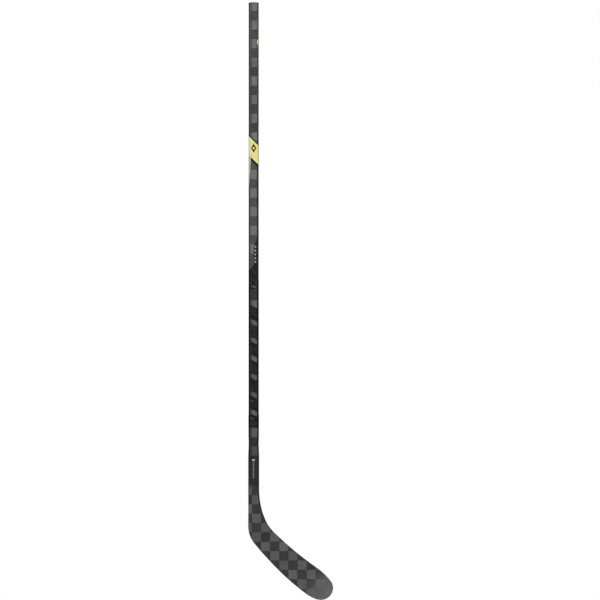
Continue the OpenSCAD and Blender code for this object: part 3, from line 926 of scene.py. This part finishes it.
def make_plug():
    """End plug: a hollow shank with sealing ribs, a rounded flange and a crowned top."""
    low, high = node_box("end_plug")
    lip = (high[0] - low[0] - SHAFT_W) / 2
    bore_w, bore_t, bore_r = SHAFT_W - 2 * (WALL + PLY), SHAFT_T - 2 * (WALL + PLY), CORNER_R - WALL - PLY
    gap, rib = 0.1, 0.25
    shank = -(gap + rib)
    crest = -gap
    foot = low[2]
    rings = [(shank - 0.8, foot), (shank, foot + 0.8)]
    for i in range(4):
        z = foot + 4 + i * (BUTT_Z - foot - 10) / 3
        rings += [(shank, z), (crest, z + 0.4), (crest, z + 2.6), (shank, z + 3.0)]
    rings += [(shank, BUTT_Z - 0.01)]
    sheet = Sheet("end_plug_fine")
    loops = [section_loop(bore_w + 2 * o, bore_t + 2 * o, bore_r + o, z) for o, z in rings]
    flange_top = BUTT_Z + 1.4
    soft = 0.5
    for o, z in ((lip - 0.35, BUTT_Z + 0.01), (lip - 0.1, BUTT_Z + 0.12), (lip, BUTT_Z + 0.4),
                 (lip, flange_top - soft)):
        loops.append(section_loop(SHAFT_W + 2 * o, SHAFT_T + 2 * o, CORNER_R + o, z))
    rise = high[2] - flange_top
    for k in range(1, 5):
        a = math.radians(22.5 * k)
        o = lip - soft * (1 - math.cos(a))
        loops.append(section_loop(SHAFT_W + 2 * o, SHAFT_T + 2 * o, CORNER_R + o,
                                  flange_top - soft + soft * math.sin(a)))
    rim = loops[-1]
    for share in (0.94, 0.85, 0.7, 0.5, 0.25):
        crown = [(x * share, y * share, flange_top + rise * (1 - share ** 2)) for x, y, z in rim]
        loops.append(crown)
    inside_w, inside_t = bore_w + 2 * shank - 5, bore_t + 2 * shank - 5
    hollow = [section_loop(inside_w, inside_t, 1.0, foot), section_loop(inside_w, inside_t, 1.0, BUTT_Z - 4)]
    loops = [hollow[1], hollow[0]] + loops
    ids = [[sheet.add(p) for p in loop] for loop in loops]
    n = len(ids[0])
    for a, b in zip(ids, ids[1:]):
        for j in range(n):
            k = (j + 1) % n
            sheet.face([a[j], a[k], b[k], b[j]])
    top = sheet.add((0, 0, high[2]))
    roof = sheet.add((0, 0, BUTT_Z - 4))
    for j in range(n):
        k = (j + 1) % n
        sheet.face([ids[-1][j], ids[-1][k], top])
        sheet.face([ids[0][k], ids[0][j], roof])
    piece = sheet.make(PLUG, PLUG_BLACK, "end_plug", slot="plug_rubber")
    return piece


def section_loop(w, t, r, z):
    return [(x, y, z) for x, y, nx, ny, s in section(w, t, max(r, 0.2))]


# ---------------------------------------------------------------- films


WEDGE_TIP = (-SHAFT_W / 2 + 0.5, down(550.5))


def make_band():
    film("accent_band_film", "accent_band", YELLOW, [band_outline(BAND_DOWN, BAND_H, -REACH, REACH)],
         slot="yellow_film")
    film("band_top_line_film", "band_top_line", BLACK,
         [band_outline(BAND_DOWN - BAND_LINE_H, BAND_LINE_H, -REACH, REACH)], slot="black_film")
    film("band_bottom_line_film", "band_bottom_line", BLACK,
         [band_outline(FOOT_DOWN, BAND_FOOT_H, -FOOT_X, SIDE_X)], slot="black_film")
    film("left_wedge_film", "left_wedge", PALE,
         [[on_slope(-REACH, FOOT_DOWN), on_slope(-FOOT_X, FOOT_DOWN), on_slope(-FOOT_X, PANEL_DOWN),
           WEDGE_TIP, (-REACH, WEDGE_TIP[1])]], slot="pale_film")
    film("right_side_film", "right_side_panel", YELLOW,
         [[on_slope(SIDE_X, FOOT_DOWN), on_slope(REACH, FOOT_DOWN), (REACH, down(SIDE_FOOT)),
           (SIDE_X, down(SIDE_FOOT))]], slot="yellow_film")
    film("right_stripe_film", "right_corner_stripe", BLACK,
         [[on_slope(FACE_X, PANEL_DOWN), on_slope(SIDE_X, PANEL_DOWN), (SIDE_X, down(STRIPE_FOOT)),
           (FACE_X, down(STRIPE_FOOT))]], slot="black_film")


def make_mark():
    """A plain rhombus with a round hole, on the band's two wide faces."""
    sheet = Sheet("band_mark_film")
    around = [2 * math.pi * k / 48 for k in range(48)]
    for side in (-1, 1):
        rings = []
        for share in (0.0, 1.0):
            ring = []
            for a in around:
                c, s = math.cos(a), math.sin(a)
                rim = 1 / (abs(c) * 2 / MARK_W + abs(s) * 2 / MARK_H)
                r = rim + share * (MARK_HOLE - rim)
                ring.append(((r * c, side * (SHAFT_T / 2 + FILM), down(MARK_DOWN) + r * s), (0, side, 0)))
            rings.append(ring)
        ring_film(sheet, rings, FILM, open_middle=True)
    sheet.make(STICK, BLACK, "band_mark", slot="black_film")


def around_toe(s):
    """Point [x, y] of the shaft's section and its normal, at a distance s from the middle of the toe side."""
    flat = SHAFT_T / 2 - CORNER_R
    arc = CORNER_R * math.pi / 2
    side = math.copysign(1, s)
    far = abs(s)
    if far <= flat:
        return (SHAFT_W / 2, s), (1, 0)
    if far <= flat + arc:
        g = (far - flat) / CORNER_R
        n = (math.cos(g), side * math.sin(g))
        return (FACE_X + CORNER_R * n[0], side * flat + CORNER_R * n[1]), n
    return (FACE_X - (far - flat - arc), side * SHAFT_T / 2), (0, side)


def make_badge():
    """The round sticker that wraps over the toe side's two corners."""
    rim = 1 - BADGE_RIM / BADGE_R
    core = 0.62
    for name, node, material, shares, slot in (
            ("badge_rim_film", "badge_ring", BADGE_OLIVE, (1.0, rim), "badge_rim"),
            ("badge_field_film", "side_badge", BADGE_YELLOW, (rim, 0.77, 0.72, 0.67, core), "badge_film"),
            ("badge_core_film", "side_badge", BADGE_CORE, (core, 0.5, 0.4, 0.3, 0.2, 0.1, 0.02), "badge_film")):
        rings = []
        for share in shares:
            ring = []
            for k in range(72):
                a = 2 * math.pi * k / 72
                (x, y), n = around_toe(BADGE_S * share * math.cos(a))
                ring.append(((x, y, down(BADGE_DOWN) + BADGE_R * share * math.sin(a)), (*n, 0)))
            rings.append(ring)
        sheet = Sheet(name)
        ring_film(sheet, rings, FILM, open_middle=shares[-1] > 0.1)
        sheet.make(STICK, material, node, slot=slot)


def make_grip():
    """The grip's raised mesh: crossed ridges with sloped sides on both wide faces."""
    start = on_slope(-FOOT_X, PANEL_DOWN)
    share = (start[0] + FACE_X) / (start[0] - WEDGE_TIP[0])
    outline = [start, on_slope(FACE_X, PANEL_DOWN), (FACE_X, down(WEDGE_TOP)), (0, down(WEDGE_BOTTOM)),
               (0, down(GRIP_FOOT)), (-FACE_X, down(GRIP_FOOT)),
               (-FACE_X, start[1] + share * (WEDGE_TIP[1] - start[1]))]
    bm = wrapped_patch([outline], [], lambda z: 0.0, ends_of([outline]))
    high, low = ends_of([outline])
    for way in (1, -1):
        lowest = min(x + way * z for x in (-FACE_X, FACE_X) for z in (low, high))
        highest = max(x + way * z for x in (-FACE_X, FACE_X) for z in (low, high))
        for n in range(math.ceil(lowest / RIDGE_PITCH) - 1, math.floor(highest / RIDGE_PITCH) + 2):
            for edge in (-RIDGE_W / 2, RIDGE_W / 2):
                cut_patch(bm, (n * RIDGE_PITCH + edge, 0), (1, way))
    seams = [e for e in bm.edges if len(e.link_faces) == 2 and all(abs(v.co.x) < 1e-4 for v in e.verts)]
    bmesh.ops.dissolve_edges(bm, edges=seams, use_verts=True)
    cells = []
    for f in bm.faces:
        c = f.calc_center_median()
        off = [abs((t + RIDGE_PITCH / 2) % RIDGE_PITCH - RIDGE_PITCH / 2) for t in (c.x + c.z, c.x - c.z)]
        if min(off) > RIDGE_W / 2 and f.calc_area() > 1.5:
            cells.append(f)
    bm.normal_update()
    bmesh.ops.inset_individual(bm, faces=cells, thickness=RIDGE_SLOPE, depth=-RIDGE_H)
    bm.verts.index_update()
    sheet = Sheet("grip_mesh_film")
    top, under = [], []
    for v in bm.verts:
        side = math.copysign(1, v.co.y)
        sunk = SHAFT_T / 2 - abs(v.co.y)
        u, row, shade = weave_at(v.co.x, v.co.y, 0, side, v.co.z)
        weave = (u, row, 1 - sunk / RIDGE_H)
        top.append(sheet.add((v.co.x, side * (SHAFT_T / 2 + FILM + RIDGE_H - sunk), v.co.z), weave))
        under.append(sheet.add((v.co.x, side * SHAFT_T / 2, v.co.z), weave))
    for f in bm.faces:
        ids = [v.index for v in f.verts]
        sheet.face([top[i] for i in ids])
        sheet.face([under[i] for i in reversed(ids)])
        for loop in f.loops:
            if len(loop.edge.link_faces) == 1:
                a, b = loop.vert.index, loop.link_loop_next.vert.index
                sheet.face([top[b], top[a], under[a], under[b]])
    bm.free()
    sheet.make(STICK, GRIP, "grip_panel", slot="grip_mesh")


def make_panels():
    """The black panel with a box, a slit and a light window, and the gloss panel with its windows."""
    half, top, foot = BOX_W / 2, down(BOX_DOWN), down(BOX_DOWN + BOX_H)
    box = [[(-half, top), (half, top), (half, top - BOX_LINE), (-half, top - BOX_LINE)],
           [(-half, foot + BOX_LINE), (half, foot + BOX_LINE), (half, foot), (-half, foot)],
           [(-half, top), (-half + BOX_LINE, top), (-half + BOX_LINE, foot), (-half, foot)],
           [(half - BOX_LINE, top), (half, top), (half, foot), (half - BOX_LINE, foot)]]
    slit = slanted(-SLIT_W / 2, SLIT_W / 2, down(SLIT_DOWN), SLIT_H, SLIT_H)
    light = [(-FACE_X, down(LIGHT_DOWN)), (FACE_X, down(LIGHT_DOWN)), (FACE_X, down(LIGHT_RIGHT)),
             (-FACE_X, down(LIGHT_LEFT))]
    film("outline_panel_film", "outline_panel", GLOSS_BLACK,
         [[(FACE_X, down(WEDGE_TOP)), (0, down(WEDGE_BOTTOM)), (0, down(SLANT_FOOT - 16)),
           (-FACE_X, down(SLANT_FOOT)), (-REACH, down(SLANT_FOOT)), (-REACH, down(GLOSS_DOWN)),
           (REACH, down(GLOSS_DOWN)), (REACH, down(STRIPE_FOOT)), (FACE_X, down(STRIPE_FOOT))]],
         box + [slit, light], slot="black_film")
    windows = [slanted(-FACE_X, FACE_X, down(WINDOW_DOWN + i * WINDOW_PITCH), WINDOW_H, WINDOW_DROP)
               for i in range(6)]
    slivers = [slanted(-FACE_X, 0, down(WINDOW_DOWN + i * WINDOW_PITCH + SLIVER_AFTER), SLIVER_H,
                       WINDOW_DROP / 2) for i in (4, 5)]
    heights = [down(GLOSS_DOWN), WRAP_HIGH[2] + 2]
    heights += list(np.linspace(WRAP_HIGH[2], WRAP_HIGH[2] - 14, 8)) + [FUSE_Z]
    film("gloss_panel_film", "gloss_panel", GLOSS_BLACK,
         [[(-REACH, down(GLOSS_DOWN)), (REACH, down(GLOSS_DOWN)), (REACH, FUSE_Z), (-REACH, FUSE_Z)]],
         windows + slivers, slot="gloss_black_film", heights=heights)


def rectangle(x, y, z, w, h, side):
    """A ring film's rim: a rectangle centred at [x, z], w wide and h high, at y(z) on one side."""
    return [((x + cx * w / 2, y(z + cz * h / 2), z + cz * h / 2), (0, side, 0))
            for cx, cz in ((-1, -1), (1, -1), (1, 1), (-1, 1))]


def make_chips():
    sheet = Sheet("marker_chips_film")
    for side in (-1, 1):
        for i in range(5):
            rim = rectangle(CHIP_X, lambda z: side * (SHAFT_T / 2 + FILM), down(CHIPS_DOWN + i * CHIP_PITCH),
                            CHIP_W, CHIP_H, side)
            ring_film(sheet, [rim], FILM)
    sheet.make(STICK, GREY, "marker_chips", slot="grey_film")


def make_ticks():
    def hosel_y(z):
        return -lookup((FUSE_Z - z) / HOSEL_DROP, THICKNESS_AT) / 2

    sheet = Sheet("hosel_ticks_film")
    ring_film(sheet, [rectangle(TICKS_X, hosel_y, down(TICKS_DOWN), 8, 4, -1)], FILM)
    for i in range(1, 9):
        ring_film(sheet, [rectangle(TICKS_X, hosel_y, down(TICKS_DOWN + i * TICK_PITCH), 3, 2.4, -1)], FILM)
    sheet.make(STICK, TICK, "hosel_ticks", slot="grey_film")


def finish_inner_pieces():
    """Materials of the CAD solids that stay as they are, inside the skins."""
    for nodes, material in ((("hosel_tenon", "blade_rib"), LAMINATE), (("tenon_glue",), GLUE),
                            (("hosel_core", "upper_core", "lower_core"), FOAM),
                            (("heel_block",), FILLER), (("toe_insert",), TOE_RUBBER)):
        for name in nodes:
            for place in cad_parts[name].material_slots:
                place.link = "OBJECT"
                place.material = material


make_shaft()
make_blade()
make_plug()
make_band()
make_mark()
make_badge()
make_grip()
make_panels()
make_chips()
make_ticks()
finish_inner_pieces()

# ---------------------------------------------------------------- stage, light and camera


# Metres: the floor under the toe, its half width, and where it starts to fade and is clear
FLOOR_UNDER, FLOOR_HALF, FADE_FROM, CLEAR_AT = 0.35, 3.2, 1.2, 3.0


def make_stage():
    """A plain pale floor under the stick, which fades into the white backdrop around it."""
    half = FLOOR_HALF
    z = cad_low[2] - FLOOR_UNDER
    corners = [(-half, -half, z), (half, -half, z), (half, half, z), (-half, half, z)]
    floor = bpy.data.meshes.new("floor")
    floor.from_pydata(corners, [], [(0, 1, 2, 3)])
    sh = Shader("floor")
    sh.finish((0.93, 0.93, 0.93, 1.0), 0.9)
    reach = sh.node("ShaderNodeVectorMath", operation="LENGTH")
    x, y = sh.split(sh.place())[:2]
    sh.link(sh.join(x, y), reach.inputs[0])
    alpha = sh.stretch(reach.outputs["Value"], FADE_FROM / MM, CLEAR_AT / MM, 1.0, 0.0)
    sh.link(alpha, sh.surface.inputs["Alpha"])
    floor.materials.append(sh.material)
    piece = bpy.data.objects.new("floor", floor)
    bpy.context.scene.collection.objects.link(piece)


LAMP_SIZE = (1.6, 1.6)
MIDDLE_Z = -0.9


def area_light(name, place, aim, size, power):
    light = bpy.data.lights.new(name, "AREA")
    light.shape = "RECTANGLE"
    light.size, light.size_y = size
    light.energy = power
    lamp = bpy.data.objects.new(name, light)
    lamp.location = place
    lamp.rotation_euler = (Vector(aim) - Vector(place)).to_track_quat("-Z", "Y").to_euler()
    bpy.context.scene.collection.objects.link(lamp)


def make_world():
    """A white studio: the backdrop is white to the camera, and dimmer as a source of light."""
    world = bpy.data.worlds.new("studio")
    bpy.context.scene.world = world
    world.use_nodes = True
    tree = world.node_tree
    tree.nodes.clear()
    out = tree.nodes.new("ShaderNodeOutputWorld")
    mix = tree.nodes.new("ShaderNodeMixShader")
    path = tree.nodes.new("ShaderNodeLightPath")
    seen = tree.nodes.new("ShaderNodeBackground")
    seen.inputs["Color"].default_value = (1, 1, 1, 1)
    lit = tree.nodes.new("ShaderNodeBackground")
    lit.inputs["Color"].default_value = (0.98, 0.99, 1.0, 1)
    lit.inputs["Strength"].default_value = 0.12
    tree.links.new(path.outputs["Is Camera Ray"], mix.inputs[0])
    tree.links.new(lit.outputs[0], mix.inputs[1])
    tree.links.new(seen.outputs[0], mix.inputs[2])
    tree.links.new(mix.outputs[0], out.inputs[0])


def make_camera():
    centre = Vector((0.1366, 0.0, BUTT_Z * MM - 0.875))
    distance = 9.0
    frame_width = 1.770
    data = bpy.data.cameras.new("camera")
    data.sensor_width = 36.0
    data.lens = data.sensor_width * distance / frame_width
    data.clip_end = 100
    camera = bpy.data.objects.new("camera", data)
    camera.location = centre + Vector((0, -distance, 0))
    camera.rotation_euler = (math.radians(90), 0, 0)
    bpy.context.scene.collection.objects.link(camera)
    bpy.context.scene.camera = camera


make_stage()
make_world()
area_light("key", (-2.2, -4.6, 2.6), (0, 0, MIDDLE_Z), LAMP_SIZE, 255)
area_light("fill", (2.4, -4.4, 2.2), (0.1, 0, MIDDLE_Z), LAMP_SIZE, 138)
area_light("back_key", (2.2, 4.6, 2.6), (0, 0, MIDDLE_Z), LAMP_SIZE, 160)
area_light("back_fill", (-2.4, 4.4, 2.2), (0.1, 0, MIDDLE_Z), LAMP_SIZE, 110)
make_camera()

bpy.context.scene.view_settings.view_transform = "Standard"
